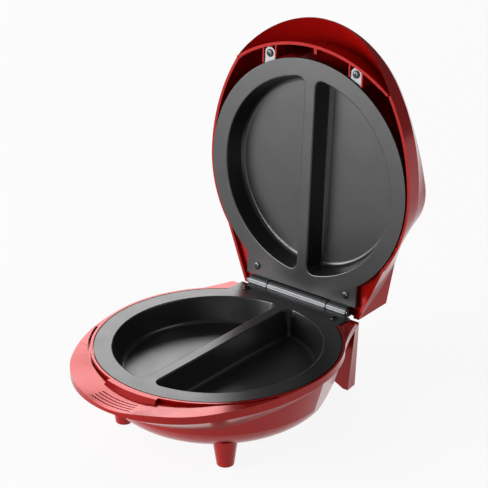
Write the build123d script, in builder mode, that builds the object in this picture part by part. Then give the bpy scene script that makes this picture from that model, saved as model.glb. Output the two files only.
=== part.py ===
"""Electric omelette maker: a round clam-shell cooker with two half-moon pans in each plate.

Millimetres, +Z up, the handle at -Y and the hinge at +Y.  The origin is on the table top, under
the middle of the object as it stands with its lid open.
"""

from build123d import *
from math import cos, sin, radians
import os

os.makedirs("parts", exist_ok=True)

# ---------------------------------------------------------------- driving dimensions

plate_radius = 100
plate_thickness = 3
plate_gap = 3            # between the two cooking faces when the lid is shut
plate_height = 67.5      # lower cooking face above the table
plate_y = -13.5          # middle of the lower plate, so that the open object is centred

hinge_y = 106            # hinge line, from the middle of the plate
hinge_z = 1.5
open_angle = 93.8
barrel_radius = 4.5
pin_radius = 2
pin_clearance = 0.06

wall = 2.5
body_radius = 103
handle_reach = 131.5     # front edge of both shells, from the middle of the plate
bowl_depth = 53
tail_corner = (61, 111)  # rear corner of the shells' outline

# ---------------------------------------------------------------- frames

# The base's frame lies on the lower cooking face.  The lid's frame is the same frame swung
# back about the hinge line, so the lid's pieces are all drawn as if the lid were shut.
plate_top = Plane(origin=(0, plate_y, plate_height))
swing = radians(open_angle)
lid_frame = Plane(
    origin=(
        0,
        plate_y + hinge_y - hinge_y * cos(swing) - hinge_z * sin(swing),
        plate_height + hinge_z + hinge_y * sin(swing) - hinge_z * cos(swing),
    ),
    x_dir=(1, 0, 0),
    z_dir=(0, sin(swing), cos(swing)),
)


def radial(frame, angle):
    """An upright plane through a frame's own Z: local x runs outward at the angle, local y up."""
    outward = frame.x_dir * cos(radians(angle)) + frame.y_dir * sin(radians(angle))
    return Plane(origin=frame.origin, x_dir=outward, z_dir=outward.cross(frame.z_dir))


def sideways(frame, x=0):
    """An upright plane facing +X: local x runs to the back, local y up."""
    return Plane(origin=frame.origin + frame.x_dir * x, x_dir=frame.y_dir, z_dir=frame.x_dir)


def spindle(frame):
    """The axis that a frame's round pieces are turned about."""
    return Axis(frame.origin, frame.z_dir)


# ---------------------------------------------------------------- the shells' common outline


def shell_outline(reach, shoulder, side, flank, waist, corner, inset=0):
    """Plan of a shell: a round nose, slightly bowed sides, round flanks and a straight back."""
    with BuildSketch() as plan:
        with BuildLine():
            nose = TangentArc((0, -reach), shoulder, tangent=(1, 0))
            cheek = TangentArc(shoulder, side, tangent=nose % 1)
            round_flank = TangentArc(side, flank, tangent=cheek % 1)
            TangentArc(flank, waist, tangent=round_flank % 1)
            Line(waist, corner)
            Line(corner, (0, corner[1]))
            mirror(about=Plane.YZ)
        make_face()
        if inset:
            offset(amount=-inset, kind=Kind.INTERSECTION)
    return plan.sketch


def handle_outline(reach, shoulder, side):
    """The front half of that plan, closed straight across the middle."""
    with BuildSketch() as plan:
        with BuildLine():
            nose = TangentArc((0, -reach), shoulder, tangent=(1, 0))
            TangentArc(shoulder, side, tangent=nose % 1)
            Line(side, (0, side[1]))
            mirror(about=Plane.YZ)
        make_face()
    return plan.sketch


# ---------------------------------------------------------------- base shell

waist = (82, 62.3)       # the round outline ends here and the tail begins
rim_height = 6
rim_width = 2
skirt_top = -7
skirt_bottom = -30
leg_spot = (54, -56)
deck_top = -1
deck_step = -5           # the deck drops here to clear the lid's tail
deck_bottom = -7
facet_angle = 20
dip_depth = 4
outer_dip = 50           # half widths of the handle's dip at its outer and inner edges
inner_dip = 85
groove_start = 203       # degrees round the plate; it ends as far round on the other side
groove_bottom = -3.6
gland_radius = 5.5
gland_height = -32
block_y = 30
block_screw_x = 14.5


def bowl(inset):
    """The round body, turned, with one flat facet on each rear flank under the rim."""
    facet_top = inset - rim_height
    with BuildPart() as body:
        with BuildSketch(Plane.XZ):
            with BuildLine():
                Line((0, 0), (0, inset - bowl_depth))
                Line((0, inset - bowl_depth), (66 - inset / 2, inset - bowl_depth))
                ThreePointArc(
                    (66 - inset / 2, inset - bowl_depth),
                    (84.5 - inset * 0.7, inset * 0.7 - 45.5),
                    (95 - inset, -32.5),
                )
                Line((95 - inset, -32.5), (102.6 - inset * 1.3, -rim_height))
                Line((102.6 - inset * 1.3, -rim_height), (102.6 - inset * 1.3, 0))
                Line((102.6 - inset * 1.3, 0), (0, 0))
            make_face()
        revolve(axis=Axis.Z)
        for angle in (facet_angle, 180 - facet_angle):
            with BuildSketch(radial(Plane.XY, angle)):
                Polygon(
                    (98.5 - inset, facet_top), (130, facet_top), (130, -60), (83 - inset, -60),
                    align=None,
                )
            extrude(amount=60, both=True, mode=Mode.SUBTRACT)
    return body.part


def skirt(top, bottom, inset):
    """The handle's hollow underside: from the nose outline in to the front of the bowl."""
    with BuildPart() as under:
        with BuildSketch(Plane.XY.offset(top)):
            add(handle_outline(handle_reach - inset, (75.7 - inset * 0.8, inset * 0.6 - 90.9),
                               (body_radius - 0.5 - inset, 0)))
        with BuildSketch(Plane.XY.offset(bottom)):
            add(handle_outline(95.5 - inset, (62 - inset * 0.8, inset * 0.6 - 66),
                               (86 - inset, 0)))
        loft(ruled=True)
    return under.part


def handle_dip():
    """What is taken off the handle's top: a smooth dip in the middle, wider towards the plate."""
    outer_y = -131
    inner_y = -103
    with BuildPart() as dip:
        for step in range(-7, 8):
            x = 15 * step
            outer_drop = dip_depth * cos(radians(90 * min(abs(x) / outer_dip, 1))) ** 2
            inner_drop = dip_depth * cos(radians(90 * min(abs(x) / inner_dip, 1))) ** 2
            slope = (outer_drop - inner_drop) / (inner_y - outer_y)
            with BuildSketch(Plane.YZ.offset(x)):
                Polygon((-140, -outer_drop - 9 * slope), (-70, 33 * slope - inner_drop),
                        (-70, 12), (-140, 12), align=None)
        loft()
    return dip.part


with BuildPart(plate_top) as base_shell:
    add(bowl(0))
    add(skirt(skirt_top, skirt_bottom, 0))

    # handle: the flange round the front
    with BuildSketch(plate_top.offset(skirt_top)):
        add(handle_outline(handle_reach, (75.7, -90.9), (body_radius - 0.5, 0)))
    extrude(amount=-skirt_top)
    add(handle_dip(), mode=Mode.SUBTRACT)

    # rim round the plate
    with BuildSketch(radial(plate_top, 0)):
        with Locations((body_radius - rim_width, -rim_height)):
            Rectangle(rim_width, rim_height, align=Align.MIN)
    revolve(axis=spindle(plate_top))

    # tail deck behind the plate, and the rear stand below it
    with BuildSketch(plate_top.offset(deck_bottom)):
        with BuildLine():
            ThreePointArc(waist, (74, 78), (66.4, 97))
            Line((66.4, 97), (62.4, 107.5))
            Line((62.4, 107.5), (0, 107.5))
            Line((0, waist[1]), waist)
            mirror(about=Plane.YZ)
        make_face()
    extrude(amount=deck_top - deck_bottom)
    with BuildSketch(sideways(plate_top)):
        Polygon((98, deck_top), (98, 2), (115, 2), (115, deck_step), (101.5, deck_step), align=None)
    extrude(amount=70, both=True, mode=Mode.SUBTRACT)
    with BuildSketch(plate_top.offset(deck_step)):
        Polygon((-66.4, 97), (66.4, 97), (62.4, 107.5), (-62.4, 107.5), align=None)
    with BuildSketch(plate_top.offset(-plate_height)):
        Polygon((-57.2, 100), (57.2, 100), (55.7, 112), (-55.7, 112), align=None)
    loft(ruled=True)
    with BuildSketch(radial(plate_top, 0)):
        with BuildLine():
            arch = ThreePointArc((-52, -plate_height), (0, -54), (52, -plate_height))
            Line(arch @ 1, arch @ 0)
        make_face()
    extrude(amount=-120, mode=Mode.SUBTRACT)

    # two tapered front legs
    for x in (-leg_spot[0], leg_spot[0]):
        with Locations((x, leg_spot[1], -plate_height)):
            Cone(7, 10.3, 24, align=(Align.CENTER, Align.CENTER, Align.MIN))
    leg_ends = base_shell.edges().filter_by(GeomType.CIRCLE).group_by(Axis.Z)[0]
    fillet(leg_ends, radius=1.2)

    # hollow inside
    add(bowl(wall), mode=Mode.SUBTRACT)
    add(skirt(-rim_height, skirt_bottom + wall, 3), mode=Mode.SUBTRACT)
    with Locations((0, 0, -plate_thickness)):
        Cylinder(body_radius - rim_width, 4, mode=Mode.SUBTRACT,
                 align=(Align.CENTER, Align.CENTER, Align.MIN))
    for x in (-leg_spot[0], leg_spot[0]):
        with Locations((x, leg_spot[1], wall - plate_height)):
            Cylinder(4.6, 30, mode=Mode.SUBTRACT, align=(Align.CENTER, Align.CENTER, Align.MIN))

    # space in the rear stand for the supply wires, and its inlet hole
    with Locations((0, 102.6, -27.5)):
        Box(90, 5.6, 33, mode=Mode.SUBTRACT)
    with Locations((0, 98, -15.5)):
        Box(36, 12, 9, mode=Mode.SUBTRACT)
    with Locations(Location((0, 110, gland_height), (90, 0, 0))):
        Cylinder(gland_radius + 0.2, 16, mode=Mode.SUBTRACT)

    # blind holes in the floor for the terminal block's screws
    with Locations(*[(x, block_y, wall - bowl_depth) for x in (-block_screw_x, block_screw_x)]):
        Cylinder(1.25, 3.4, mode=Mode.SUBTRACT)

    # groove between the rim and the flange, and the wider stretch of rim in the middle
    with BuildSketch(radial(plate_top, groove_start)):
        with Locations((body_radius, groove_bottom)):
            Rectangle(2, 8, align=Align.MIN)
    revolve(axis=spindle(plate_top), revolution_arc=540 - 2 * groove_start, mode=Mode.SUBTRACT)
    with BuildSketch(radial(plate_top, 256)):
        Polygon((101.2, -rim_height), (101.2, 0), (106, 0), (109.6, -3.4), (109.6, -rim_height),
                align=None)
    revolve(axis=spindle(plate_top), revolution_arc=28)

    # grip lines on the handle
    for line in range(4):
        with BuildSketch(radial(plate_top, 260)):
            with Locations((115.4 + 3.5 * line, -4.8)):
                Rectangle(1.1, 5, align=Align.MIN)
        revolve(axis=spindle(plate_top), revolution_arc=18.5, mode=Mode.SUBTRACT)

    # recess for the plate's rear tab, and the two bosses that its screws go into
    tab_seat = -plate_thickness
    with Locations((0, 87, tab_seat)):
        Box(116.6, 29.4, 8, mode=Mode.SUBTRACT, align=(Align.CENTER, Align.CENTER, Align.MIN))
    with Locations((-47.1, 93, tab_seat), (47.1, 93, tab_seat)):
        Cylinder(4.5, 14, align=(Align.CENTER, Align.CENTER, Align.MAX))
        Cylinder(1.3, 12, align=(Align.CENTER, Align.CENTER, Align.MAX), mode=Mode.SUBTRACT)
base_shell.part.label = "base_shell"
export_step(base_shell.part, "parts/base_shell.step")

# ---------------------------------------------------------------- cooking plates

cavity_radius = 85
bar_half_width = 5.2
cavity_draft = 13
cavity_corner = 7
floor_fillet = 4
mouth_fillet = 1.3
tab_half_width = 57.9
tab_back = 100.8
screw_x = 47.1
lower_screw_y = 93
upper_screw_y = 92.1
lug_spot = (44, -96.8)
lug_radius = 5.2
lug_face = plate_gap + 2
lug_thickness = 2
turned_over = (0, 180, 0)
plate_skin = 2.5
lower_depth = 22
upper_depth = 17
stud_x = 42
stud_y = 30
stud_spots = [(-stud_x, -stud_y), (stud_x, -stud_y), (-stud_x, stud_y), (stud_x, stud_y)]
stud_length = 16.5       # from the pans' floor
reflector_gap = 10.3     # from the back of the pans to the reflector
heater_ring = 62
heater_tube = 3.3
heater_gap = 13          # degrees on each side of the heater's opening at the back
clamp_spots = [0, 180, 250, 290]     # angles round the plate
clamp_boss_ring = 52
knuckle_split = 31.5
knuckle_end = 52
bracket_x = 17           # thermostat bracket's screws
flange_height = 1.5


def around(radius, angle):
    """A point on a circle about the middle of the plate."""
    return radius * cos(radians(angle)), radius * sin(radians(angle))


def pans(grow, depth):
    """Both half-moon pans as solids rising from z=0, with drafted sides and a rounded floor."""
    edge = bar_half_width - grow
    radius = cavity_radius + grow
    reach = (radius**2 - edge**2) ** 0.5
    with BuildPart() as pair:
        with BuildSketch() as mouth:
            with BuildLine():
                ThreePointArc((edge, -reach), (radius, 0), (edge, reach))
                Line((edge, reach), (edge, -reach))
            make_face()
            fillet(mouth.vertices(), radius=cavity_corner)
        extrude(amount=depth, taper=cavity_draft)
        fillet(pair.faces().sort_by(Axis.Z)[-1].edges(), radius=floor_fillet + grow)
        mirror(about=Plane.YZ)
    return pair.part


def cast_plate(depth, screw_y):
    """A cast plate lying face down on z=0, its pans rising behind it."""
    with BuildPart() as cast:
        with BuildSketch():
            Circle(plate_radius)
            with Locations((0, tab_back / 2)):
                Rectangle(2 * tab_half_width, tab_back)
        extrude(amount=plate_thickness)
        add(pans(plate_skin, depth + plate_skin))
        add(pans(0, depth), mode=Mode.SUBTRACT)
        cooking_face = cast.faces().sort_by(Axis.Z)[0]
        fillet(cooking_face.inner_wires().edges(), radius=mouth_fillet)
        with Locations((-screw_x, screw_y, 0), (screw_x, screw_y, 0)):
            Cylinder(1.8, 20, mode=Mode.SUBTRACT)
        # bosses for the heater's clamps, shouldered studs for the reflector
        with Locations(*[(*around(clamp_boss_ring, a), depth) for a in clamp_spots]):
            Cylinder(3.5, plate_skin + 2 * heater_tube,
                     align=(Align.CENTER, Align.CENTER, Align.MIN))
        with Locations(*[(*around(clamp_boss_ring, a), depth + plate_skin) for a in clamp_spots]):
            Cylinder(1.3, 10, mode=Mode.SUBTRACT,
                     align=(Align.CENTER, Align.CENTER, Align.MIN))
        with Locations(*[(x, y, depth) for x, y in stud_spots]):
            Cylinder(3, plate_skin + reflector_gap, align=(Align.CENTER, Align.CENTER, Align.MIN))
            Cylinder(2, stud_length, align=(Align.CENTER, Align.CENTER, Align.MIN))
    return cast.part


def knuckle(start, end, web_bottom):
    """A stretch of hinge barrel with the web that ties it to its plate."""
    with BuildPart() as barrel:
        with BuildSketch(Plane.YZ.offset(start)):
            with Locations((hinge_y, hinge_z)):
                Circle(barrel_radius)
            with Locations((tab_back - 2, web_bottom)):
                Rectangle(hinge_y - tab_back, plate_thickness, align=Align.MIN)
            with Locations((hinge_y, hinge_z)):
                Circle(pin_radius + pin_clearance, mode=Mode.SUBTRACT)
        extrude(amount=end - start)
    return barrel.part


# The lower plate is the same casting turned over, face up.
with BuildPart(plate_top) as lower_plate:
    add(cast_plate(lower_depth, lower_screw_y), rotation=turned_over)
    add(knuckle(-knuckle_split + 0.3, knuckle_split - 0.3, -plate_thickness))
    # two hooks that grip under the rim at the front
    for angle in (244, 296):
        with BuildSketch(radial(plate_top, angle).offset(-4)):
            Polygon((94, -2), (94, -8.6), (102.4, -8.6), (102.4, -6.3), (96.5, -6.3), (96.5, -2),
                    align=None)
        extrude(amount=8)
lower_plate.part.label = "lower_plate"
export_step(lower_plate.part, "parts/lower_plate.step")

with BuildPart(lid_frame) as upper_plate:
    with Locations((0, 0, plate_gap)):
        add(cast_plate(upper_depth, upper_screw_y))
    for start, end in ((-knuckle_end, -knuckle_split - 0.3), (knuckle_split + 0.3, knuckle_end)):
        add(knuckle(start, end, plate_gap))
    for x in (-lug_spot[0], lug_spot[0]):
        with BuildSketch(lid_frame.offset(lug_face)):
            with Locations((x, lug_spot[1] + 7)):
                Rectangle(2 * lug_radius, 14)
            with Locations((x, lug_spot[1])):
                Circle(lug_radius)
                Circle(1.8, mode=Mode.SUBTRACT)
        extrude(amount=lug_thickness)
    # two low bosses for the thermostat's bracket
    with Locations(*[(x, 0, plate_gap + upper_depth) for x in (-bracket_x, bracket_x)]):
        Cylinder(3, plate_skin + flange_height, align=(Align.CENTER, Align.CENTER, Align.MIN))
    with Locations(*[(x, 0, plate_gap + upper_depth + 1) for x in (-bracket_x, bracket_x)]):
        Cylinder(1.2, 6, align=(Align.CENTER, Align.CENTER, Align.MIN), mode=Mode.SUBTRACT)
upper_plate.part.label = "upper_plate"
export_step(upper_plate.part, "parts/upper_plate.step")

# ---------------------------------------------------------------- lid shell

lid_rim = 4.5            # the lid's edge stands behind the cooking face, except at the lip
lip_edge = 2
lip_radius = 130.2
lip_half_width = 77
lip_center = 18
lid_height = 40.5
crease_height = 19.5     # the lid's sides bend inward here, and again at the shoulder
shoulder_height = 36
top_waist = (72, 66)
shelf_bottom = 7.6
shelf_thickness = 1.8
lamp_x = 12
lamp_y = 83
lamp_radius = 3.8
post_x = 24
post_bottom = 33


def tail_y(height):
    """How far back the leaning end of the tail is at a height."""
    return tail_corner[1] - (height - lid_rim) * 7.2 / (shoulder_height - lid_rim)


def lid_body(inset, top):
    """The lid's outside, up to its top, shrunk evenly by the inset."""
    with BuildPart() as body:
        with BuildSketch(Plane.XY.offset(lid_rim)):
            add(shell_outline(handle_reach, (75.7, -90.9), (103, 0), (97.5, 33.2), waist,
                              tail_corner, inset))
        with BuildSketch(Plane.XY.offset(crease_height)):
            add(shell_outline(131.2, (75.4, -90.2), (101.6, -3), (96, 24), (77.5, 64.5),
                              (59.8, tail_y(crease_height)), inset))
        with BuildSketch(Plane.XY.offset(shoulder_height + (top - lid_height) / 2)):
            add(shell_outline(120, (67.5, -81), (96.3, -9), (90.8, 22.9), top_waist,
                              (60, tail_y(shoulder_height)), inset))
        with BuildSketch(Plane.XY.offset(top)):
            add(shell_outline(104, (54.5, -70), (81, -7), (76, 22), (58, 60), (53, 92), inset))
        loft(ruled=True)
    return body.part


def tail_wings():
    """A three-cornered wing on each side of the tail, from the waist back to the rear corner."""
    shoulder_y = tail_y(shoulder_height)
    with BuildPart() as wing:
        with BuildSketch(Plane.XY.offset(lid_rim)):
            Polygon((61.2, 110.4), tail_corner, (60.2, 111), (60.4, 110.4), align=None)
        with BuildSketch(Plane.XY.offset(shoulder_height)):
            Polygon(top_waist, (66, shoulder_y), (54, shoulder_y), (60, 70), align=None)
        with BuildSketch(Plane.XY.offset(lid_height)):
            Polygon((58, 60), (53, 92), (46, 92), (50, 62), align=None)
        loft(ruled=True)
        mirror(about=Plane.YZ)
    return wing.part


def finger_space(grow):
    """The hollow under the front of the lid where the fingers go, bounded by the lip's wall."""
    front = -140
    crown = 14
    spring_line = -22.5
    slope = 0.5
    wall_top = 34
    with BuildPart() as space:
        with BuildSketch(Plane.XZ.offset(-front)):
            with BuildLine():
                arch = ThreePointArc((-78 - grow, spring_line), (0, crown + grow * 1.15),
                                     (78 + grow, spring_line))
                Line(arch @ 1, arch @ 0)
            make_face()
        extrude(amount=76, dir=Vector(0, 1, slope).normalized())
        with BuildSketch(Plane.YZ):
            outer = lip_radius + 1 - grow
            Polygon((lip_center, -20), (lip_center - outer, -20), (lip_center - outer, lip_edge),
                    (lip_center - outer + 4.6, wall_top), (lip_center - outer + 9, 60),
                    (lip_center, 60), align=None)
        revolve(axis=Axis((0, lip_center, 0), (0, 0, 1)), mode=Mode.SUBTRACT)
    return space.part


def lid_space():
    """Everything hollow above the lid's rim: the lid shrunk by its wall, less the finger space."""
    with BuildPart() as space:
        add(lid_body(wall, lid_height - wall))
        with Locations((0, 0, lid_rim - 1)):
            Cylinder(plate_radius + 0.4, plate_gap + plate_thickness - lid_rim + 1.4,
                     align=(Align.CENTER, Align.CENTER, Align.MIN))
        with BuildSketch(Plane.XY.offset(lip_edge - 1)):
            with Locations((0, lip_center)):
                Circle(lip_radius - 1)
            with Locations((0, -95)):
                Rectangle(2 * lip_half_width, 70, mode=Mode.INTERSECT)
        extrude(amount=6)
        add(finger_space(wall), mode=Mode.SUBTRACT)
    return space.part


with BuildPart(lid_frame) as lid_shell:
    add(lid_body(0, lid_height))
    add(tail_wings())
    with BuildSketch(lid_frame.offset(lip_edge)):
        with Locations((0, lip_center)):
            Circle(lip_radius + 1)
        with Locations((0, -105)):
            Rectangle(2 * lip_half_width, 38, mode=Mode.INTERSECT)
    extrude(amount=10)
    add(finger_space(0), mode=Mode.SUBTRACT)
    add(lid_space(), mode=Mode.SUBTRACT)

    # notch in the tail for the hinge barrels
    with Locations((0, 108, lid_rim)):
        Box(111, 20, 6, mode=Mode.SUBTRACT)

    # screw bosses behind the plate's tab and lugs
    boss_top = 36.8
    boss_spots = [(-screw_x, upper_screw_y, plate_gap + plate_thickness),
                  (screw_x, upper_screw_y, plate_gap + plate_thickness),
                  (-lug_spot[0], lug_spot[1], lug_face + lug_thickness),
                  (lug_spot[0], lug_spot[1], lug_face + lug_thickness)]
    for x, y, bottom in boss_spots:
        with Locations((x, y, bottom)):
            Cylinder(4.5, boss_top - bottom, align=(Align.CENTER, Align.CENTER, Align.MIN))
            Cylinder(1.3, 12, align=(Align.CENTER, Align.CENTER, Align.MIN), mode=Mode.SUBTRACT)

    # the lip's wall is relieved round the lugs' ends
    with Locations(*[(x, lug_spot[1], lug_face - 1) for x in (-lug_spot[0], lug_spot[0])]):
        Cylinder(lug_radius + 0.5, lug_thickness + 1,
                 align=(Align.CENTER, Align.CENTER, Align.MIN), mode=Mode.SUBTRACT)

    # thin ribs on both sides of each lug, and a peg in the middle of the lip
    for x in (-50.4, -37.6, 37.6, 50.4):
        with BuildSketch(sideways(lid_frame, x - 0.7)):
            edge = (101**2 - x**2) ** 0.5
            lip = ((lip_radius - 0.5) ** 2 - x**2) ** 0.5 - lip_center
            lip_top = ((lip_radius - 4) ** 2 - x**2) ** 0.5 - lip_center
            Polygon((-lip, 4), (-edge, 4), (-edge, 26), (-lip_top, 26), align=None)
        extrude(amount=1.4)
    with Locations((0, -107.5, 16)):
        Box(3, 7, 16)

    # a shelf closes each rear corner beside the plate's tab
    with BuildSketch(lid_frame.offset(shelf_bottom)):
        for side in (-1, 1):
            Polygon((side * 52, 66), (side * 79, 63), (side * 60.5, 107), (side * 52, 107),
                    align=None)
        Circle(90, mode=Mode.SUBTRACT)
    extrude(amount=shelf_thickness)

    # lamp holes near the hinge, and the posts that the lamp holder hangs on
    with Locations(*[(x, lamp_y, lid_height) for x in (-lamp_x, lamp_x)]):
        Cylinder(lamp_radius + 0.1, 12, mode=Mode.SUBTRACT)
    with Locations(*[(x, lamp_y, post_bottom) for x in (-post_x, post_x)]):
        Cylinder(3.2, lid_height - 1 - post_bottom, align=(Align.CENTER, Align.CENTER, Align.MIN))
        Cylinder(1.2, 4.5, align=(Align.CENTER, Align.CENTER, Align.MIN), mode=Mode.SUBTRACT)
lid_shell.part.label = "lid_shell"
export_step(lid_shell.part, "parts/lid_shell.step")

# ---------------------------------------------------------------- hinge pin and its clip

pin_end = 53.4
clip_groove = 52.4
clip_groove_width = 0.8

with BuildPart(plate_top) as hinge_pin:
    with BuildSketch(sideways(plate_top, -pin_end)):
        with Locations((hinge_y, hinge_z)):
            Circle(pin_radius)
    extrude(amount=2 * pin_end)
    with BuildSketch(sideways(plate_top, -pin_end)):
        with Locations((hinge_y, hinge_z)):
            Circle(3.2)
    extrude(amount=-1.2)
    fillet(hinge_pin.edges().filter_by(GeomType.CIRCLE).sort_by(Axis.X)[0], radius=0.6)
    with BuildSketch(sideways(plate_top, clip_groove)):
        with Locations((hinge_y, hinge_z)):
            Circle(pin_radius + 1)
            Circle(pin_radius - 0.5, mode=Mode.SUBTRACT)
    extrude(amount=clip_groove_width, mode=Mode.SUBTRACT)
hinge_pin.part.label = "hinge_pin"
export_step(hinge_pin.part, "parts/hinge_pin.step")

with BuildPart(plate_top) as hinge_pin_clip:
    with BuildSketch(sideways(plate_top, clip_groove + 0.05)):
        with Locations((hinge_y, hinge_z)):
            Circle(3.8)
            Circle(pin_radius - 0.48, mode=Mode.SUBTRACT)
        with Locations((hinge_y, hinge_z - 3)):
            Rectangle(2.2, 6, mode=Mode.SUBTRACT)
    extrude(amount=clip_groove_width - 0.1)
hinge_pin_clip.part.label = "hinge_pin_clip"
export_step(hinge_pin_clip.part, "parts/hinge_pin_clip.step")

# ---------------------------------------------------------------- screws and nuts


def pan_screw(head_radius, head_height, shank_radius, shank_length):
    """A cross-head screw standing on z=0: its head rises, its shank goes down."""
    with BuildPart() as screw:
        Cylinder(head_radius, head_height, align=(Align.CENTER, Align.CENTER, Align.MIN))
        fillet(screw.faces().sort_by(Axis.Z)[-1].edges(), radius=head_height * 0.55)
        with Locations((0, 0, head_height)):
            Box(head_radius * 1.1, 0.8, head_height, mode=Mode.SUBTRACT)
            Box(0.8, head_radius * 1.1, head_height, mode=Mode.SUBTRACT)
        Cylinder(shank_radius, shank_length, align=(Align.CENTER, Align.CENTER, Align.MAX))
    return screw.part


def hexagon_nut(across, height, bore):
    """A plain nut standing on z=0."""
    with BuildPart() as nut:
        with BuildSketch():
            RegularPolygon(across / 2, 6, major_radius=False)
            Circle(bore, mode=Mode.SUBTRACT)
        extrude(amount=height)
    return nut.part


def flat_down(x, y, z):
    """A spot for a screw that is driven upward: its head hangs below z."""
    return Location((x, y, z), (180, 0, 0))


with BuildPart(plate_top) as lower_rear_screws:
    with Locations((-screw_x, lower_screw_y, 0), (screw_x, lower_screw_y, 0)):
        add(pan_screw(3.4, 1.3, 1.25, 11))
lower_rear_screws.part.label = "lower_rear_screws"
export_step(lower_rear_screws.part, "parts/lower_rear_screws.step")

with BuildPart(lid_frame) as upper_rear_screws:
    with Locations(*[flat_down(x, upper_screw_y, plate_gap) for x in (-screw_x, screw_x)]):
        add(pan_screw(3.4, 1.3, 1.25, 12))
upper_rear_screws.part.label = "upper_rear_screws"
export_step(upper_rear_screws.part, "parts/upper_rear_screws.step")

with BuildPart(lid_frame) as upper_lug_screws:
    with Locations(*[flat_down(x, lug_spot[1], lug_face) for x in (-lug_spot[0], lug_spot[0])]):
        add(pan_screw(3.3, 1.6, 1.25, 12))
upper_lug_screws.part.label = "upper_lug_screws"
export_step(upper_lug_screws.part, "parts/upper_lug_screws.step")

# ---------------------------------------------------------------- heating, alike behind each plate


def heater(back):
    """A sheathed heating element: an open ring lying on the pans' backs, its ends turned away."""
    height = back + heater_tube
    with BuildPart() as element:
        with BuildSketch(radial(Plane.XY, 90 + heater_gap)):
            with Locations((heater_ring, height)):
                Circle(heater_tube)
        revolve(axis=Axis.Z, revolution_arc=360 - 2 * heater_gap)
        for angle in (90 - heater_gap, 90 + heater_gap):
            x, y = around(heater_ring, angle)
            with Locations((x, y, height)):
                Sphere(heater_tube)
                Cylinder(heater_tube, 5, align=(Align.CENTER, Align.CENTER, Align.MIN))
                Cylinder(1.2, 9.6, align=(Align.CENTER, Align.CENTER, Align.MIN))
    return element.part


def clamps(back):
    """Straps that hold the ring: flat over the tube, the outer end turned down to the plate."""
    top = back + 2 * heater_tube
    with BuildPart() as straps:
        for angle in clamp_spots:
            with BuildSketch(radial(Plane.XY, angle).offset(-4)):
                Polygon((48, top), (48, top + 1.2), (69, top + 1.2), (69, back), (67.8, back),
                        (67.8, top), align=None)
            extrude(amount=8)
            with Locations((*around(clamp_boss_ring, angle), top)):
                Cylinder(1.5, 4, mode=Mode.SUBTRACT)
    return straps.part


def clamp_screws(back):
    """One screw through each strap into its boss."""
    top = back + 2 * heater_tube + 1.2
    with BuildPart() as screws:
        with Locations(*[(*around(clamp_boss_ring, a), top) for a in clamp_spots]):
            add(pan_screw(2.6, 1.7, 1.25, 6.5))
    return screws.part


def reflector(back, middle_hole):
    """A shallow sheet pan on the studs, open where the element's ends come through."""
    sheet = 0.6
    bottom = back + reflector_gap
    with BuildPart() as pan:
        with BuildSketch(Plane.XZ):
            Polygon((0, bottom), (73, bottom), (76, bottom - 4), (76.7, bottom - 4),
                    (73.4, bottom + sheet), (0, bottom + sheet), align=None)
        revolve(axis=Axis.Z)
        with Locations((0, heater_ring - 3, bottom)):
            Box(42, 42, 12, mode=Mode.SUBTRACT)
        with Locations(*[(x, y, bottom) for x, y in stud_spots]):
            Cylinder(2.15, 4, mode=Mode.SUBTRACT)
        if middle_hole:
            with Locations((0, 0, bottom)):
                Cylinder(middle_hole, 4, mode=Mode.SUBTRACT)
    return pan.part


def nuts(back):
    """The reflector's nuts."""
    with BuildPart() as four:
        with Locations(*[(x, y, back + reflector_gap + 0.6) for x, y in stud_spots]):
            add(hexagon_nut(7, 2.5, 2.05))
    return four.part


def terminals(back):
    """Crimped tags on the element's pins, their barrels pointing forward."""
    height = back + reflector_gap + 2.4
    with BuildPart() as tags:
        for angle in (90 - heater_gap, 90 + heater_gap):
            x, y = around(heater_ring, angle)
            with Locations((x, y, height)):
                Cylinder(2.2, 3, align=(Align.CENTER, Align.CENTER, Align.MAX))
            with Locations(Location((x, y - 1, height - 1.6), (90, 0, 0))):
                Cylinder(1.5, 7, align=(Align.CENTER, Align.CENTER, Align.MIN))
            with Locations((x, y, height - 3)):
                Cylinder(1.22, 8, mode=Mode.SUBTRACT)
    return tags.part


lower_back = lower_depth + plate_skin
upper_back = upper_depth + plate_skin
wire_radius = 1.1


def wire(points, start_way, end_way):
    """A flexible insulated wire through points in a frame."""
    with BuildPart() as run:
        with BuildLine() as path:
            Spline(points, tangents=[start_way, end_way])
        with BuildSketch(Plane(origin=path.line @ 0, z_dir=path.line % 0)):
            Circle(wire_radius)
        sweep()
    return run.part


with BuildPart(plate_top) as lower_heater:
    add(heater(lower_back), rotation=turned_over)
lower_heater.part.label = "lower_heater"
export_step(lower_heater.part, "parts/lower_heater.step")

with BuildPart(plate_top) as lower_clamps:
    add(clamps(lower_back), rotation=turned_over)
lower_clamps.part.label = "lower_clamps"
export_step(lower_clamps.part, "parts/lower_clamps.step")

with BuildPart(plate_top) as lower_clamp_screws:
    add(clamp_screws(lower_back), rotation=turned_over)
lower_clamp_screws.part.label = "lower_clamp_screws"
export_step(lower_clamp_screws.part, "parts/lower_clamp_screws.step")

with BuildPart(plate_top) as lower_reflector:
    add(reflector(lower_back, 0), rotation=turned_over)
lower_reflector.part.label = "lower_reflector"
export_step(lower_reflector.part, "parts/lower_reflector.step")

with BuildPart(plate_top) as lower_nuts:
    add(nuts(lower_back), rotation=turned_over)
lower_nuts.part.label = "lower_nuts"
export_step(lower_nuts.part, "parts/lower_nuts.step")

with BuildPart(plate_top) as lower_terminals:
    add(terminals(lower_back), rotation=turned_over)
lower_terminals.part.label = "lower_terminals"
export_step(lower_terminals.part, "parts/lower_terminals.step")

with BuildPart(lid_frame) as upper_heater:
    with Locations((0, 0, plate_gap)):
        add(heater(upper_back))
upper_heater.part.label = "upper_heater"
export_step(upper_heater.part, "parts/upper_heater.step")

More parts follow.
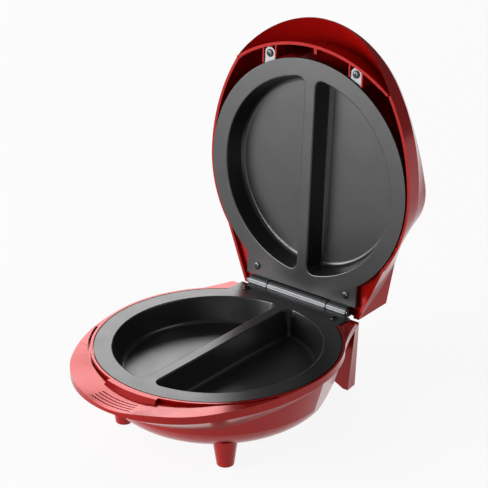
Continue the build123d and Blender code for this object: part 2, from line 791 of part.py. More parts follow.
with BuildPart(lid_frame) as upper_clamps:
    with Locations((0, 0, plate_gap)):
        add(clamps(upper_back))
upper_clamps.part.label = "upper_clamps"
export_step(upper_clamps.part, "parts/upper_clamps.step")

with BuildPart(lid_frame) as upper_clamp_screws:
    with Locations((0, 0, plate_gap)):
        add(clamp_screws(upper_back))
upper_clamp_screws.part.label = "upper_clamp_screws"
export_step(upper_clamp_screws.part, "parts/upper_clamp_screws.step")

with BuildPart(lid_frame) as upper_reflector:
    with Locations((0, 0, plate_gap)):
        add(reflector(upper_back, 11))
upper_reflector.part.label = "upper_reflector"
export_step(upper_reflector.part, "parts/upper_reflector.step")

with BuildPart(lid_frame) as upper_nuts:
    with Locations((0, 0, plate_gap)):
        add(nuts(upper_back))
upper_nuts.part.label = "upper_nuts"
export_step(upper_nuts.part, "parts/upper_nuts.step")

with BuildPart(lid_frame) as upper_terminals:
    with Locations((0, 0, plate_gap)):
        add(terminals(upper_back))
upper_terminals.part.label = "upper_terminals"
export_step(upper_terminals.part, "parts/upper_terminals.step")

# ---------------------------------------------------------------- wiring in the base

bowl_floor = wall - bowl_depth
block_size = (34, 12, 8)
block_entry = bowl_floor + 4
fuse_y = 6
fuse_height = -(lower_back + reflector_gap + 0.6 + 2.7)

with BuildPart(plate_top) as terminal_block:
    with Locations((0, block_y, bowl_floor)):
        Box(*block_size, align=(Align.CENTER, Align.CENTER, Align.MIN))
    with Locations(*[(x, block_y, bowl_floor + block_size[2]) for x in (-10, -3.5, 3.5, 10)]):
        Cylinder(2, 3, mode=Mode.SUBTRACT)
    with Locations(*[(x, block_y, bowl_floor) for x in (-block_screw_x, block_screw_x)]):
        Cylinder(1.4, 30, mode=Mode.SUBTRACT)
terminal_block.part.label = "terminal_block"
export_step(terminal_block.part, "parts/terminal_block.step")

with BuildPart(plate_top) as block_screws:
    block_top = bowl_floor + block_size[2]
    with Locations(*[(x, block_y, block_top) for x in (-block_screw_x, block_screw_x)]):
        add(pan_screw(2.2, 1.4, 1.2, 9.5))
block_screws.part.label = "block_screws"
export_step(block_screws.part, "parts/block_screws.step")

with BuildPart(plate_top) as thermal_fuse:
    with Locations(Location((0, fuse_y, fuse_height), (0, 90, 0))):
        Cylinder(2.5, 34)
        Cylinder(1.4, 40)
    fillet(thermal_fuse.edges().filter_by(GeomType.CIRCLE), radius=0.4)
thermal_fuse.part.label = "thermal_fuse"
export_step(thermal_fuse.part, "parts/thermal_fuse.step")

with BuildPart(plate_top) as fuse_clip:
    under = fuse_height + 2.7
    with BuildSketch(sideways(plate_top, -4)):
        with Locations((fuse_y, fuse_height)):
            Circle(3.3)
        with Locations((fuse_y, under)):
            Rectangle(16, 0.8, align=(Align.CENTER, Align.MAX))
            Rectangle(20, 6, align=(Align.CENTER, Align.MIN), mode=Mode.SUBTRACT)
        with Locations((fuse_y, fuse_height)):
            Circle(2.52, mode=Mode.SUBTRACT)
        with Locations((fuse_y, under)):
            Rectangle(4, 1.6, align=(Align.CENTER, Align.CENTER), mode=Mode.SUBTRACT)
    extrude(amount=8)
fuse_clip.part.label = "fuse_clip"
export_step(fuse_clip.part, "parts/fuse_clip.step")

tag_x, tag_ring_y = around(heater_ring, 90 - heater_gap)
tag_y = tag_ring_y - 8
tag_height = -(lower_back + reflector_gap + 0.8)
block_back = block_y + block_size[1] / 2
block_front = block_y - block_size[1] / 2

with BuildPart(plate_top) as lower_wires:
    add(wire([(-tag_x, tag_y, tag_height), (-12, 43, -42.5), (-10, block_back, block_entry)],
             (0, -1, 0), (0, -1, 0)))
    add(wire([(-20, fuse_y, fuse_height), (-24, 13, -43), (-10, block_front, block_entry)],
             (-1, 0, 0), (0, 1, 0)))
    mirror(about=Plane.YZ)
lower_wires.part.label = "lower_wires"
export_step(lower_wires.part, "parts/lower_wires.step")

with BuildPart(plate_top) as supply_wires:
    add(wire([(-3.5, block_back, block_entry), (-3.5, 66, -43), (-3.5, 84, -29),
              (-3.5, 95, -17.5), (-3, 100.5, -16), (-2.4, 102.8, -20.5), (-1.8, 102.8, -27)],
             (0, 1, 0), (0, 0, -1)))
    mirror(about=Plane.YZ)
supply_wires.part.label = "supply_wires"
export_step(supply_wires.part, "parts/supply_wires.step")

with BuildPart(plate_top) as cord_gland:
    with Locations(Location((0, 111.4, gland_height), (90, 0, 0))):
        Cylinder(gland_radius, 7.2, align=(Align.CENTER, Align.CENTER, Align.MIN))
    with Locations(Location((0, 105.3, gland_height), (90, 0, 0))):
        Cylinder(7.4, 1.1, align=(Align.CENTER, Align.CENTER, Align.MIN))
        Cylinder(3.4, 30, mode=Mode.SUBTRACT)
cord_gland.part.label = "cord_gland"
export_step(cord_gland.part, "parts/cord_gland.step")

# ---------------------------------------------------------------- thermostat and wiring in the lid

upper_pan_back = plate_gap + upper_back
thermostat_radius = 8
strap = 0.8

with BuildPart(lid_frame) as thermostat:
    with Locations((0, 0, upper_pan_back)):
        Cylinder(9.5, flange_height, align=(Align.CENTER, Align.CENTER, Align.MIN))
        Cylinder(thermostat_radius, 8.5, align=(Align.CENTER, Align.CENTER, Align.MIN))
    with Locations(*[(x, 0, upper_pan_back + 8) for x in (-5, 5)]):
        Box(1, 5, 4, align=(Align.CENTER, Align.CENTER, Align.MIN))
thermostat.part.label = "thermostat"
export_step(thermostat.part, "parts/thermostat.step")

with BuildPart(lid_frame) as thermostat_bracket:
    with Locations((0, 0, upper_pan_back + flange_height)):
        Box(2 * bracket_x + 7, 12, strap, align=(Align.CENTER, Align.CENTER, Align.MIN))
        Cylinder(10.5, strap, align=(Align.CENTER, Align.CENTER, Align.MIN))
        Cylinder(thermostat_radius + 0.15, 4, mode=Mode.SUBTRACT)
    with Locations(*[(x, 0, upper_pan_back + flange_height) for x in (-bracket_x, bracket_x)]):
        Cylinder(1.4, 4, mode=Mode.SUBTRACT)
thermostat_bracket.part.label = "thermostat_bracket"
export_step(thermostat_bracket.part, "parts/thermostat_bracket.step")

with BuildPart(lid_frame) as thermostat_screws:
    head_seat = upper_pan_back + flange_height + strap
    with Locations(*[(x, 0, head_seat) for x in (-bracket_x, bracket_x)]):
        add(pan_screw(2.4, 1.5, 1.15, 3.6))
thermostat_screws.part.label = "thermostat_screws"
export_step(thermostat_screws.part, "parts/thermostat_screws.step")

holder_top = 36
holder_bottom = 28


def lamp_lens():
    """A small domed lens with a collar that stops it under the lid's top."""
    with BuildPart() as lens:
        with Locations((0, 0, holder_top)):
            Cylinder(lamp_radius, lid_height + 1.2 - holder_top,
                     align=(Align.CENTER, Align.CENTER, Align.MIN))
            fillet(lens.faces().sort_by(Axis.Z)[-1].edges(), radius=1.1)
            Cylinder(lamp_radius + 1.2, lid_height - wall - holder_top,
                     align=(Align.CENTER, Align.CENTER, Align.MIN))
    return lens.part


with BuildPart(lid_frame) as power_lamp:
    with Locations((-lamp_x, lamp_y, 0)):
        add(lamp_lens())
power_lamp.part.label = "power_lamp"
export_step(power_lamp.part, "parts/power_lamp.step")

with BuildPart(lid_frame) as ready_lamp:
    with Locations((lamp_x, lamp_y, 0)):
        add(lamp_lens())
ready_lamp.part.label = "ready_lamp"
export_step(ready_lamp.part, "parts/ready_lamp.step")

with BuildPart(lid_frame) as lamp_holder:
    with Locations((0, lamp_y, holder_bottom)):
        Box(38, 10, holder_top - holder_bottom, align=(Align.CENTER, Align.CENTER, Align.MIN))
    with Locations((0, lamp_y, post_bottom)):
        Box(2 * post_x + 8, 8, 2, align=(Align.CENTER, Align.CENTER, Align.MAX))
    with Locations(*[(x, lamp_y, post_bottom) for x in (-post_x, post_x)]):
        Cylinder(1.4, 8, mode=Mode.SUBTRACT)
lamp_holder.part.label = "lamp_holder"
export_step(lamp_holder.part, "parts/lamp_holder.step")

with BuildPart(lid_frame) as lamp_screws:
    with Locations(*[flat_down(x, lamp_y, post_bottom - 2) for x in (-post_x, post_x)]):
        add(pan_screw(2.4, 1.5, 1.15, 6))
lamp_screws.part.label = "lamp_screws"
export_step(lamp_screws.part, "parts/lamp_screws.step")

upper_tag_height = upper_pan_back + reflector_gap + 0.8
thermostat_top = upper_pan_back + 12.7

with BuildPart(lid_frame) as upper_wires:
    add(wire([(-5, 3.8, thermostat_top), (-7, 24, thermostat_top + 0.9),
              (-9, 37, thermostat_top + 0.7), (-tag_x, tag_y, upper_tag_height)],
             (0, 1, 0), (0, 1, 0)))
    add(wire([(-tag_x, tag_ring_y + 2.3, upper_tag_height),
              (-12, 69, upper_tag_height + 1.6), (-8, lamp_y - 5, 32)], (0, 1, 0), (0, 1, 0)))
    mirror(about=Plane.YZ)
upper_wires.part.label = "upper_wires"
export_step(upper_wires.part, "parts/upper_wires.step")
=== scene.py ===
from math import cos, pi, radians, sin

import bpy
from mathutils import Matrix, Vector


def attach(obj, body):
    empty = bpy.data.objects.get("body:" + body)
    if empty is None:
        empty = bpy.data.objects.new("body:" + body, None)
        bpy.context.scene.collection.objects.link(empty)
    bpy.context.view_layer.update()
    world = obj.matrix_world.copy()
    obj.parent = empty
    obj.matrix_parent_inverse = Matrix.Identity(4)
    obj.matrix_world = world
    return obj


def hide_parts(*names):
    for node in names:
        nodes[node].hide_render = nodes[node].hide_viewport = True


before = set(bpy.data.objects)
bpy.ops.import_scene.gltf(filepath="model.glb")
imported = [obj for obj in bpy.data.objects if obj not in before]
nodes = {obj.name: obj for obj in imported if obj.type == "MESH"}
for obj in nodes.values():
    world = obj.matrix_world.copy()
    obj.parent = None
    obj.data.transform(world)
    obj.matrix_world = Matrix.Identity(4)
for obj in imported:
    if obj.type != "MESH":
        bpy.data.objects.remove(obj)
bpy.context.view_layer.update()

# ------------------------------------------------------------------ camera
# A long lens on a tripod in front of the cooker and to its right, looking slightly down on
# the open plates.

camera = bpy.data.objects.new("studio_camera", bpy.data.cameras.new("studio_camera"))
bpy.context.scene.collection.objects.link(camera)
camera.data.sensor_width = 36
camera.data.lens = 139.8
camera.data.clip_start = 0.1
stand_point = Vector((0.88866, -1.04838, 0.76584))
look_point = Vector((0, 0.020646, 0.142194))
tilt = radians(-0.509)     # the tripod's head is not quite level
away = (look_point - stand_point).normalized()
level = away.cross(Vector((0, 0, 1))).normalized()
rise = level.cross(away)
right = level * cos(tilt) + rise * sin(tilt)
up = rise * cos(tilt) - level * sin(tilt)
turned_to_look = Matrix((right, up, -away)).transposed().to_4x4()
camera.matrix_world = Matrix.Translation(stand_point) @ turned_to_look
bpy.context.scene.camera = camera
bpy.context.scene.view_settings.view_transform = "Standard"

# ------------------------------------------------------------------ table and studio light
# A white table top in a plain pale room.  A wide soft box low in front on the left lights the
# open lid, a smaller one behind on the left skims the level surfaces, and two weak ones fill in
# from above and from the right.


def linear(code):
    """An sRGB hex colour as linear RGBA."""
    parts = [int(code[i:i + 2], 16) / 255 for i in (1, 3, 5)]
    return [p / 12.92 if p < 0.04045 else ((p + 0.055) / 1.055) ** 2.4 for p in parts] + [1]


def node(tree, kind, inputs=None, **settings):
    """Adds a node: settings are its own properties, inputs are values or sockets to link."""
    made = tree.nodes.new(kind)
    for name, value in settings.items():
        setattr(made, name, value)
    for name, value in (inputs or {}).items():
        socket = made.inputs[name]
        if isinstance(value, bpy.types.NodeSocket):
            tree.links.new(value, socket)
        else:
            socket.default_value = value
    return made


def empty_material(name):
    """A new material with nothing in its tree yet."""
    made = bpy.data.materials.new(name)
    made.use_nodes = True
    made.node_tree.nodes.clear()
    return made


table_reach = 40.0     # so far that its edge never shows
table_corners = [(-table_reach, -table_reach, 0), (table_reach, -table_reach, 0),
                 (table_reach, table_reach, 0), (-table_reach, table_reach, 0)]
table_mesh = bpy.data.meshes.new("table_top")
table_mesh.from_pydata(table_corners, [], [(0, 1, 2, 3)])
table_top = bpy.data.objects.new("table_top", table_mesh)
bpy.context.scene.collection.objects.link(table_top)

# White laminate, matt: seen directly or in a reflection it is nine tenths plain white, and one
# tenth is lit by the lamps, which keeps the cooker's shadow.
plain_white = 0.9
white_laminate = empty_material("white_laminate")
tree = white_laminate.node_tree
ray = node(tree, "ShaderNodeLightPath")
direct = node(tree, "ShaderNodeMath", {
    0: ray.outputs["Is Camera Ray"], 1: ray.outputs["Is Glossy Ray"]},
    operation="ADD", use_clamp=True)
seen = node(tree, "ShaderNodeMath", {
    0: direct.outputs[0], 1: ray.outputs["Is Transmission Ray"]},
    operation="ADD", use_clamp=True)
share = node(tree, "ShaderNodeMath", {0: seen.outputs[0], 1: plain_white}, operation="MULTIPLY")
lit = node(tree, "ShaderNodeBsdfDiffuse", {"Color": linear("#F7F7F7")})
glow = node(tree, "ShaderNodeEmission", {"Color": linear("#FFFFFF"), "Strength": 1.0})
paper = node(tree, "ShaderNodeMixShader", {
    0: share.outputs[0], 1: lit.outputs[0], 2: glow.outputs[0]})
node(tree, "ShaderNodeOutputMaterial", {"Surface": paper.outputs[0]})
table_mesh.materials.append(white_laminate)

room = bpy.data.worlds.new("white_room")
bpy.context.scene.world = room
room.use_nodes = True
tree = room.node_tree
tree.nodes.clear()
plain = node(tree, "ShaderNodeBackground", {"Color": linear("#FFFFFF"), "Strength": 0.2})
node(tree, "ShaderNodeOutputWorld", {"Surface": plain.outputs[0]})

soft_boxes = [
    # name, place, aim, width, height, watts
    ("soft_box_behind", (-1.5, 1.48, 1.13), (-0.05, -0.06, 0.07), 1.0, 0.8, 10.5),
    ("soft_box_above", (-1.1, -0.9, 1.9), (0.0, 0.0, 0.1), 1.4, 1.4, 5.0),
    ("soft_box_front", (-1.1, -1.45, 0.45), (0.0, 0.05, 0.17), 1.4, 0.85, 48.0),
    ("soft_box_right", (2.0, 0.7, 1.6), (0.0, 0.0, 0.0), 1.2, 1.2, 9.0),
]
for name, place, aim, width, height, watts in soft_boxes:
    lamp = bpy.data.lights.new(name, "AREA")
    lamp.shape = "RECTANGLE"
    lamp.size = width
    lamp.size_y = height
    lamp.energy = watts
    box = bpy.data.objects.new(name, lamp)
    box.location = place
    box.rotation_mode = "QUATERNION"
    box.rotation_quaternion = (Vector(aim) - Vector(place)).to_track_quat("-Z", "Y")
    box.visible_camera = False
    bpy.context.scene.collection.objects.link(box)

# ------------------------------------------------------------------ base shell
# One ABS moulding, a bowl with the grip, the front legs and the rear stand in one piece, sprayed
# with a metallic red lacquer.

# Metallic red lacquer, glossy: fine aluminium flake gives a deep red body with a pink sheen.
red_lacquer = empty_material("metallic_red_lacquer")
tree = red_lacquer.node_tree
place = node(tree, "ShaderNodeTexCoord").outputs["Object"]
# flow marks of the melt: faint, 40 mm across
flow = node(tree, "ShaderNodeTexNoise", {"Vector": place, "Scale": 25, "Detail": 3})
tone = node(tree, "ShaderNodeMapRange", {
    "Value": flow.outputs[0], "From Min": 0.3, "From Max": 0.7})
colour = node(tree, "ShaderNodeMix", {
    "Factor": tone.outputs[0], "A": linear("#980C09"), "B": linear("#A00F0B")},
    data_type="RGBA")
# orange peel: very shallow, 3 mm across
peel = node(tree, "ShaderNodeTexNoise", {"Vector": place, "Scale": 330, "Detail": 1})
relief = node(tree, "ShaderNodeBump", {
    "Height": peel.outputs[0], "Distance": 0.00001, "Strength": 0.15})
# haze from handling: 5 mm across, in the gloss alone
haze = node(tree, "ShaderNodeTexNoise", {"Vector": place, "Scale": 190, "Detail": 5})
rough = node(tree, "ShaderNodeMapRange", {
    "Value": haze.outputs[0], "From Min": 0.3, "From Max": 0.75,
    "To Min": 0.14, "To Max": 0.18})
skin = node(tree, "ShaderNodeBsdfPrincipled", {
    "Base Color": colour.outputs["Result"], "Metallic": 0.4, "Roughness": rough.outputs[0],
    "IOR": 1.46, "Normal": relief.outputs[0]})
node(tree, "ShaderNodeOutputMaterial", {"Surface": skin.outputs[0]})


def dress(name, material):
    """Gives a CAD piece its finish."""
    mesh = nodes[name].data
    mesh.materials.clear()
    mesh.materials.append(material)


dress("base_shell", red_lacquer)

# ------------------------------------------------------------------ lower cooking plate
# An aluminium casting with two half-moon pans, sprayed all over with charcoal non-stick enamel.
# Two hooks grip under the base's rim in front, and two screws hold the tab behind.


def non_stick_coat(tree):
    """Charcoal non-stick enamel, satin: nearly black, with wide soft highlights and a speckle."""
    place = node(tree, "ShaderNodeTexCoord").outputs["Object"]
    # speckle: 0.7 mm across, in colour and relief
    speckle = node(tree, "ShaderNodeTexNoise", {"Vector": place, "Scale": 1400, "Detail": 2})
    tone = node(tree, "ShaderNodeMapRange", {
        "Value": speckle.outputs[0], "From Min": 0.35, "From Max": 0.7})
    colour = node(tree, "ShaderNodeMix", {
        "Factor": tone.outputs[0], "A": linear("#151516"), "B": linear("#1D1D1E")},
        data_type="RGBA")
    relief = node(tree, "ShaderNodeBump", {
        "Height": speckle.outputs[0], "Distance": 0.00001, "Strength": 0.5})
    # clouds from spraying: 17 mm across, in the gloss alone
    cloud = node(tree, "ShaderNodeTexNoise", {"Vector": place, "Scale": 60, "Detail": 4})
    rough = node(tree, "ShaderNodeMapRange", {
        "Value": cloud.outputs[0], "From Min": 0.3, "From Max": 0.7,
        "To Min": 0.29, "To Max": 0.34})
    return node(tree, "ShaderNodeBsdfPrincipled", {
        "Base Color": colour.outputs["Result"], "Roughness": rough.outputs[0], "IOR": 1.5,
        "Normal": relief.outputs[0], "Coat Weight": 0.3, "Coat Roughness": 0.28,
        "Coat IOR": 1.5})


coated_casting = empty_material("non_stick_on_cast_aluminium")
tree = coated_casting.node_tree
coat = non_stick_coat(tree)
node(tree, "ShaderNodeOutputMaterial", {"Surface": coat.outputs[0]})
dress("lower_plate", coated_casting)

# ------------------------------------------------------------------ hinge barrels
# Drawn aluminium sleeves on the plates' knuckles: one in the middle on the lower plate, one on
# each side on the upper.  Flutes run along them, which break the light into stripes.

hinge_y = 0.0925
hinge_z = 0.069
barrel_radius = 0.00482
middle_end = 0.0304       # half the middle barrel's length
side_start = 0.0324       # a side barrel's near end and far end
side_end = 0.0517
flute_count = 18
flute_depth = 0.00026


def growing_tree(name, wanted):
    """A geometry tree with a mesh output and named inputs: label, kind of socket, first value."""
    tree = bpy.data.node_groups.new(name, "GeometryNodeTree")
    tree.interface.new_socket("Geometry", in_out="OUTPUT", socket_type="NodeSocketGeometry")
    for label, kind, value in wanted:
        socket = tree.interface.new_socket(label, in_out="INPUT", socket_type=kind)
        if value is not None:
            socket.default_value = value
    return tree


fluted_barrel = growing_tree("fluted_barrel", [
    ("Radius", "NodeSocketFloat", barrel_radius), ("Start", "NodeSocketFloat", -middle_end),
    ("End", "NodeSocketFloat", middle_end), ("Flutes", "NodeSocketInt", flute_count),
    ("Depth", "NodeSocketFloat", flute_depth), ("Finish", "NodeSocketMaterial", None)])
tree = fluted_barrel
given = node(tree, "NodeGroupInput").outputs
# section: a circle with four points to a flute, each sunk by the cosine of a quarter turn a point
steps = node(tree, "ShaderNodeMath", {0: given["Flutes"], 1: 4}, operation="MULTIPLY")
ring = node(tree, "GeometryNodeCurvePrimitiveCircle", {
    "Resolution": steps.outputs[0], "Radius": given["Radius"]})
number = node(tree, "GeometryNodeInputIndex")
turn = node(tree, "ShaderNodeMath", {0: number.outputs[0], 1: pi / 2}, operation="MULTIPLY")
wave = node(tree, "ShaderNodeMath", {0: turn.outputs[0]}, operation="COSINE")
below = node(tree, "ShaderNodeMath", {0: wave.outputs[0], 1: 1.0}, operation="SUBTRACT")
half = node(tree, "ShaderNodeMath", {0: below.outputs[0], 1: 0.5}, operation="MULTIPLY")
deep = node(tree, "ShaderNodeMath", {0: half.outputs[0], 1: given["Depth"]},
            operation="MULTIPLY")
spot = node(tree, "GeometryNodeInputPosition")
outward = node(tree, "ShaderNodeVectorMath", {0: spot.outputs[0]}, operation="NORMALIZE")
dent = node(tree, "ShaderNodeVectorMath", {0: outward.outputs[0], "Scale": deep.outputs[0]},
            operation="SCALE")
fluted = node(tree, "GeometryNodeSetPosition", {
    "Geometry": ring.outputs[0], "Offset": dent.outputs[0]})
# the section is drawn out along the hinge line
near = node(tree, "ShaderNodeCombineXYZ", {"X": given["Start"], "Y": hinge_y, "Z": hinge_z})
far = node(tree, "ShaderNodeCombineXYZ", {"X": given["End"], "Y": hinge_y, "Z": hinge_z})
line = node(tree, "GeometryNodeCurvePrimitiveLine", {
    "Start": near.outputs[0], "End": far.outputs[0]})
sleeve = node(tree, "GeometryNodeCurveToMesh", {
    "Curve": line.outputs[0], "Profile Curve": fluted.outputs[0], "Fill Caps": True})
single = node(tree, "GeometryNodeRealizeInstances", {"Geometry": sleeve.outputs[0]})
painted = node(tree, "GeometryNodeSetMaterial", {
    "Geometry": single.outputs[0], "Material": given["Finish"]})
node(tree, "NodeGroupOutput", {"Geometry": painted.outputs[0]})

# Drawn aluminium, dulled: mid grey, with fine streaks along the barrel.
drawn_aluminium = empty_material("drawn_aluminium")
tree = drawn_aluminium.node_tree
place = node(tree, "ShaderNodeTexCoord").outputs["Object"]
# streaks: 0.5 mm apart round the barrel, 70 mm long
lines = node(tree, "ShaderNodeMapping", {"Vector": place, "Scale": (15, 2200, 2200)})
streak = node(tree, "ShaderNodeTexNoise", {"Vector": lines.outputs[0], "Scale": 1, "Detail": 3})
colour = node(tree, "ShaderNodeMix", {
    "Factor": streak.outputs[0], "A": linear("#3E3F40"), "B": linear("#767779")},
    data_type="RGBA")
rough = node(tree, "ShaderNodeMapRange", {
    "Value": streak.outputs[0], "To Min": 0.36, "To Max": 0.5})
metal = node(tree, "ShaderNodeBsdfPrincipled", {
    "Base Color": colour.outputs["Result"], "Metallic": 1.0, "Roughness": rough.outputs[0]})
node(tree, "ShaderNodeOutputMaterial", {"Surface": metal.outputs[0]})


def grown(name, tree, **inputs):
    """A plain mesh object from a geometry tree and the values of its named inputs."""
    seed = bpy.data.objects.new(name, bpy.data.meshes.new(name + "_seed"))
    bpy.context.scene.collection.objects.link(seed)
    made = seed.modifiers.new("grown", "NODES")
    made.node_group = tree
    for item in tree.interface.items_tree:
        if item.in_out == "INPUT" and item.name.replace(" ", "_").lower() in inputs:
            made[item.identifier] = inputs[item.name.replace(" ", "_").lower()]
    bpy.context.view_layer.update()
    ready = seed.evaluated_get(bpy.context.evaluated_depsgraph_get())
    mesh = bpy.data.meshes.new_from_object(ready)
    seed.modifiers.remove(made)
    seed.data = mesh
    return seed


for name, start, end, body in (("middle_barrel", -middle_end, middle_end, "base"),
                               ("left_barrel", -side_end, -side_start, "lid"),
                               ("right_barrel", side_start, side_end, "lid")):
    barrel = grown(name, fluted_barrel, radius=barrel_radius, start=start, end=end,
                   flutes=flute_count, depth=flute_depth, finish=drawn_aluminium)
    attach(barrel, body)

# ------------------------------------------------------------------ hinge pin and clip
# A blued steel pin with a low head, run through all three barrels; a spring clip snaps into
# its groove.


def plain_metal(name, dark, pale, low, high, scale):
    """A metal with blotches of plating or oxide, scale of them to a metre, and a finer grain.

    Its colour runs from dark to pale, and its roughness from low to high.
    """
    made = empty_material(name)
    tree = made.node_tree
    place = node(tree, "ShaderNodeTexCoord").outputs["Object"]
    blotch = node(tree, "ShaderNodeTexNoise", {"Vector": place, "Scale": scale, "Detail": 4})
    tone = node(tree, "ShaderNodeMapRange", {
        "Value": blotch.outputs[0], "From Min": 0.3, "From Max": 0.7})
    colour = node(tree, "ShaderNodeMix", {
        "Factor": tone.outputs[0], "A": linear(dark), "B": linear(pale)}, data_type="RGBA")
    rough = node(tree, "ShaderNodeMapRange", {
        "Value": blotch.outputs[0], "From Min": 0.3, "From Max": 0.7,
        "To Min": low, "To Max": high})
    grain = node(tree, "ShaderNodeTexNoise", {"Vector": place, "Scale": scale * 6})
    relief = node(tree, "ShaderNodeBump", {
        "Height": grain.outputs[0], "Distance": 0.00001, "Strength": 0.3})
    metal = node(tree, "ShaderNodeBsdfPrincipled", {
        "Base Color": colour.outputs["Result"], "Metallic": 1.0, "Roughness": rough.outputs[0],
        "Normal": relief.outputs[0]})
    node(tree, "ShaderNodeOutputMaterial", {"Surface": metal.outputs[0]})
    return made


# Blued steel, oiled: dark, with clear soft highlights and blotches of 1.4 mm.
blued_steel = plain_metal("blued_steel", "#3F4042", "#6A6B6E", 0.3, 0.42, 700)
for name in ("hinge_pin", "hinge_pin_clip"):
    dress(name, blued_steel)

# ------------------------------------------------------------------ heating behind the plates
# Behind each plate: a sheathed element under sheet straps, a pressed aluminium reflector on
# studs, zinc-plated screws and nuts, and brass tags crimped on the element's pins.

# Nickel alloy sheath, tinted by heat: dull olive brown, in blotches of 3 mm.
heated_sheath = plain_metal("heat_tinted_sheath", "#3B3A2E", "#5A5748", 0.42, 0.6, 300)
# Zinc plating on steel: pale and bright, with faint blotches of 2 mm.
zinc_plate = plain_metal("zinc_plated_steel", "#9EA3A6", "#C9CCCD", 0.25, 0.42, 500)
# Aluminium sheet, as rolled: pale, its gloss in clouds of 6 mm.
mill_sheet = plain_metal("mill_finish_aluminium", "#B9BBBD", "#D6D7D9", 0.3, 0.45, 180)
# Brass strip, bare: warm yellow, tarnished in spots of 1.7 mm.
bare_brass = plain_metal("bare_brass", "#A88240", "#C9A258", 0.25, 0.4, 600)
for side in ("lower", "upper"):
    dress(side + "_heater", heated_sheath)
    dress(side + "_clamps", zinc_plate)
    dress(side + "_clamp_screws", zinc_plate)
    dress(side + "_reflector", mill_sheet)
    dress(side + "_nuts", zinc_plate)
    dress(side + "_terminals", bare_brass)

# ------------------------------------------------------------------ wiring in the base
# A ceramic terminal block on the floor, a thermal fuse in a woven glass sleeve under its clip,
# wires in glass sleeves and in silicone, and the black gland that the supply cord would come
# in through.


def matt_moulding(name, dark, pale, roughness, scale, depth, ior=1.5):
    """A non-metal with a fine pitted skin: scale pits to a metre, depth metres deep."""
    made = empty_material(name)
    tree = made.node_tree
    place = node(tree, "ShaderNodeTexCoord").outputs["Object"]
    pits = node(tree, "ShaderNodeTexNoise", {"Vector": place, "Scale": scale, "Detail": 3})
    tone = node(tree, "ShaderNodeMapRange", {
        "Value": pits.outputs[0], "From Min": 0.3, "From Max": 0.7})
    colour = node(tree, "ShaderNodeMix", {
        "Factor": tone.outputs[0], "A": linear(dark), "B": linear(pale)}, data_type="RGBA")
    relief = node(tree, "ShaderNodeBump", {
        "Height": pits.outputs[0], "Distance": depth, "Strength": 0.6})
    moulded = node(tree, "ShaderNodeBsdfPrincipled", {
        "Base Color": colour.outputs["Result"], "Roughness": roughness, "IOR": ior,
        "Normal": relief.outputs[0]})
    node(tree, "ShaderNodeOutputMaterial", {"Surface": moulded.outputs[0]})
    return made


# Steatite, fired without a glaze: chalky off-white, with 1 mm mottling.
steatite = matt_moulding("unglazed_steatite", "#DDD8CB", "#ECE8DD", 0.7, 900, 0.00004, 1.55)
# Nylon, moulded in black: dark, with a dull shine and a 0.7 mm texture.
black_nylon = matt_moulding("black_nylon", "#141416", "#1E1E20", 0.5, 1500, 0.00003)
# Glass-fibre sleeve, woven: cream and rough, its weave 0.4 mm.
glass_sleeve = matt_moulding("woven_glass_sleeve", "#C9C3B0", "#E6E1D2", 0.75, 2600, 0.00008)
# Silicone rubber, extruded in white: smooth and waxy, with 2.5 mm ripples.
white_silicone = matt_moulding("white_silicone", "#DADAD6", "#E9E9E6", 0.45, 400, 0.00002, 1.43)
dress("terminal_block", steatite)
dress("block_screws", zinc_plate)
dress("thermal_fuse", glass_sleeve)
dress("fuse_clip", zinc_plate)
dress("lower_wires", glass_sleeve)
dress("supply_wires", white_silicone)
dress("cord_gland", black_nylon)

# ------------------------------------------------------------------ lid shell
# One ABS moulding with the arched finger hollow in front and the ribs inside, in the base's red
# lacquer.  It is screwed to the back of the upper plate and swings with it.

dress("lid_shell", red_lacquer)

# ------------------------------------------------------------------ upper cooking plate
# A second casting with the same pans and the same coat, except that the ends of its two front
# lugs are left bare.

lid_origin = Vector((0, 0.0980283, 0.1748664))     # middle of its cooking face, lid open
to_the_hinge = Vector((0, -0.066274, -0.997801))
out_of_the_lid = Vector((0, -0.997801, 0.066274))
plate_edge = 0.1002     # just outside the plate's round edge

plate_with_lugs = empty_material("non_stick_with_bare_lugs")
tree = plate_with_lugs.node_tree
coat = non_stick_coat(tree)
# Cast aluminium, bare: pale grey and dull, with a 0.4 mm grain.
place = node(tree, "ShaderNodeTexCoord").outputs["Object"]
grain = node(tree, "ShaderNodeTexNoise", {"Vector": place, "Scale": 2500, "Detail": 3})
colour = node(tree, "ShaderNodeMix", {
    "Factor": grain.outputs[0], "A": linear("#6A6B6C"), "B": linear("#8C8D8E")},
    data_type="RGBA")
bare = node(tree, "ShaderNodeBsdfPrincipled", {
    "Base Color": colour.outputs["Result"], "Metallic": 1.0, "Roughness": 0.5})
# the lugs are what lies outside the round edge, on the side away from the hinge
inside = node(tree, "ShaderNodeVectorMath", {0: place, 1: lid_origin}, operation="SUBTRACT")
back = node(tree, "ShaderNodeVectorMath", {0: inside.outputs[0], 1: to_the_hinge},
            operation="DOT_PRODUCT")
apart = node(tree, "ShaderNodeSeparateXYZ", {0: inside.outputs[0]})
flat = node(tree, "ShaderNodeCombineXYZ", {
    "X": apart.outputs["X"], "Y": back.outputs["Value"]})
reach = node(tree, "ShaderNodeVectorMath", {0: flat.outputs[0]}, operation="LENGTH")
beyond = node(tree, "ShaderNodeMath", {0: reach.outputs["Value"], 1: plate_edge},
              operation="GREATER_THAN")
front = node(tree, "ShaderNodeMath", {0: back.outputs["Value"], 1: 0.0}, operation="LESS_THAN")
lug = node(tree, "ShaderNodeMath", {0: beyond.outputs[0], 1: front.outputs[0]},
           operation="MULTIPLY")
casting = node(tree, "ShaderNodeMixShader", {
    0: lug.outputs[0], 1: coat.outputs[0], 2: bare.outputs[0]})
node(tree, "ShaderNodeOutputMaterial", {"Surface": casting.outputs[0]})
dress("upper_plate", plate_with_lugs)

